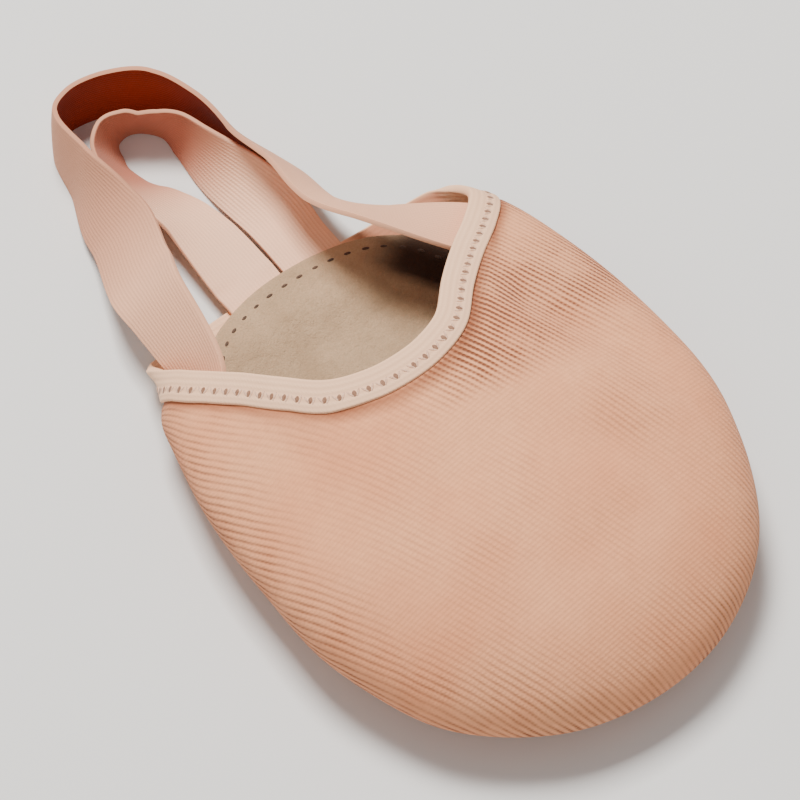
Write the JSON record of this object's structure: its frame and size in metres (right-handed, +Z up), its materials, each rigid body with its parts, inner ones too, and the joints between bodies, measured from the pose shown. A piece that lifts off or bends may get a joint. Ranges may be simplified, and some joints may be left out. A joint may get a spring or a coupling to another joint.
{
  "type": "half-sole dance shoe",
  "caption": "Toe-only dance shoe with a gathered stretch fabric hood, a suede pad under the ball of the foot and two nested elastic heel loops.",
  "frame": {"origin": "centre of the sole pad's underside, on the floor", "axes": "toe towards -Y, heel loops towards +Y, lateral side of this left shoe towards +X, +Z up"},
  "size_m": [0.0916, 0.1636, 0.0374],
  "materials": {
    "hood_fabric": "peach ribbed stretch twill, soft and dull",
    "binding_elastic": "paler folded elastic tape with zigzag stitching",
    "pad_suede": "taupe suede with a fine nap",
    "lining_suede": "taupe suede sock lining, brushed",
    "strap_elastic": "light pink flat elastic with fine lengthwise ribs"
  },
  "bodies": {
    "root": {"upper": "hood_fabric", "collar_binding": "binding_elastic", "sole_pad": "pad_suede", "insole": "lining_suede", "heel_loop_upper": "strap_elastic", "heel_loop_lower": "strap_elastic"}
  },
  "joints": []
}
